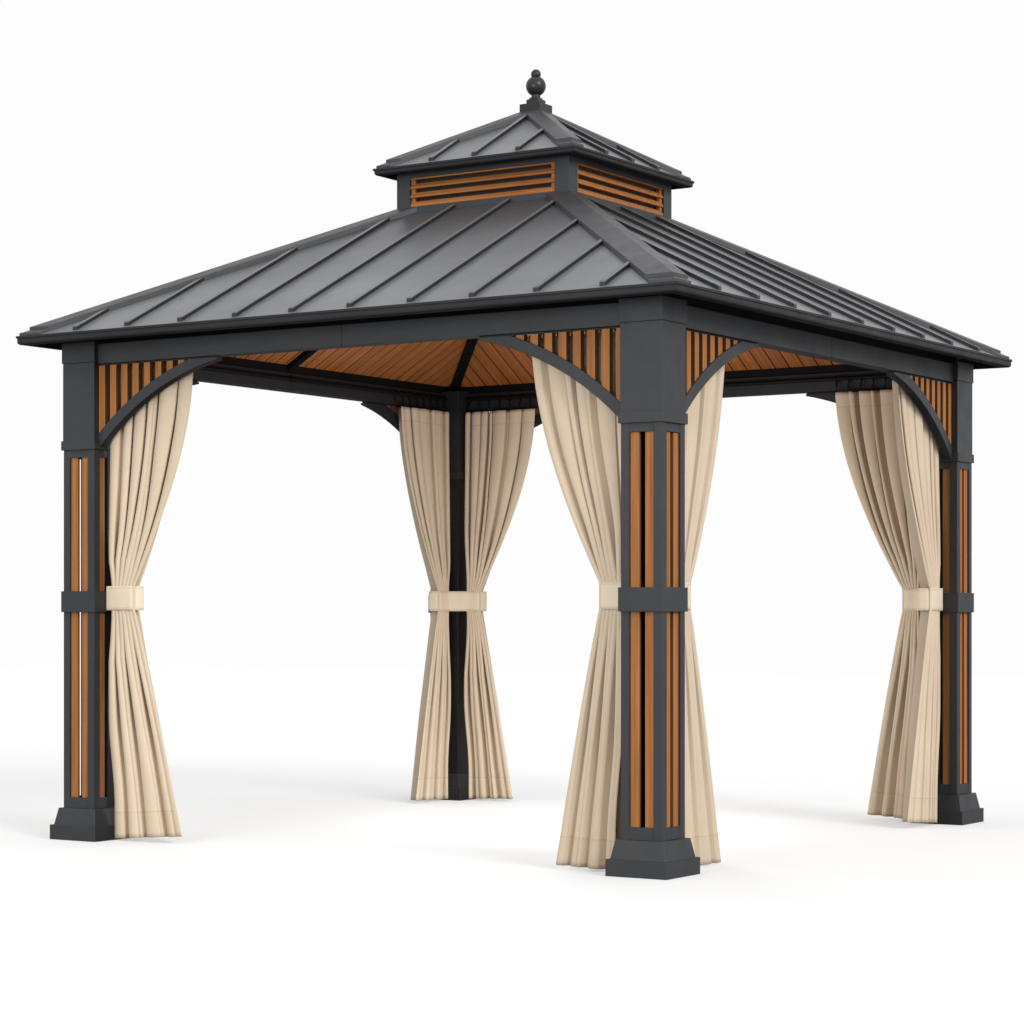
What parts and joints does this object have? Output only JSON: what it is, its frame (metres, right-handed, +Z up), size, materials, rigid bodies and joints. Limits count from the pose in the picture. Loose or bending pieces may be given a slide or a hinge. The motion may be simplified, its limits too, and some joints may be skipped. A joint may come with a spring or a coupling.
{
  "type": "gazebo",
  "caption": "Square metal gazebo with slatted posts, arched brackets, two-tier standing-seam roof, louvred cupola, ball finial and tied-back curtains.",
  "frame": {"origin": "on the ground, at the middle of the square plan, under the finial", "axes": "+Z up along the finial; -Y towards the front, +X towards the right side"},
  "size_m": [3.6, 3.6, 3.7944],
  "materials": {
    "frame_metal": "dark grey powder coat, satin",
    "inner_metal": "near-black powder coat, satin",
    "wood_slats": "orange-brown wood-look coating with fine grain along the slat",
    "roof_sheet": "grey coated steel sheet, satin",
    "roof_trim": "dark grey coated steel, satin",
    "ceiling_boards": "brown wood-look boards with dark grooves",
    "finial_metal": "dark grey coat, smooth satin",
    "curtain_cloth": "beige woven polyester"
  },
  "bodies": {
    "root": {"post_frame_front_right": "frame_metal", "post_frame_back_right": "frame_metal", "post_frame_back_left": "frame_metal", "post_frame_front_left": "frame_metal", "post_slats_front_right": "wood_slats", "post_slats_back_right": "wood_slats", "post_slats_back_left": "wood_slats", "post_slats_front_left": "wood_slats", "post_bases": "frame_metal", "post_bands": "frame_metal", "post_heads": "frame_metal", "corner_caps": "frame_metal", "beam_front": "frame_metal", "beam_right": "frame_metal", "beam_back": "frame_metal", "beam_left": "frame_metal", "wall_plates": "inner_metal", "braces_front": "frame_metal", "braces_right": "frame_metal", "braces_back": "frame_metal", "braces_left": "frame_metal", "brace_slats_front": "wood_slats", "brace_slats_right": "wood_slats", "brace_slats_back": "wood_slats", "brace_slats_left": "wood_slats", "roof_panel_front": "roof_sheet", "roof_panel_right": "roof_sheet", "roof_panel_back": "roof_sheet", "roof_panel_left": "roof_sheet", "hip_caps": "roof_trim", "eave_trim": "roof_trim", "ceiling": "ceiling_boards", "rafters": "inner_metal", "cupola_frame": "frame_metal", "cupola_louvres": "wood_slats", "cupola_roof": "roof_sheet", "cupola_hip_caps": "roof_trim", "cupola_trim": "roof_trim", "finial": "finial_metal", "curtain_rails": "inner_metal", "curtains_front": "curtain_cloth", "curtains_right": "curtain_cloth", "curtains_back": "curtain_cloth", "curtains_left": "curtain_cloth", "curtain_ties": "curtain_cloth"}
  },
  "joints": []
}
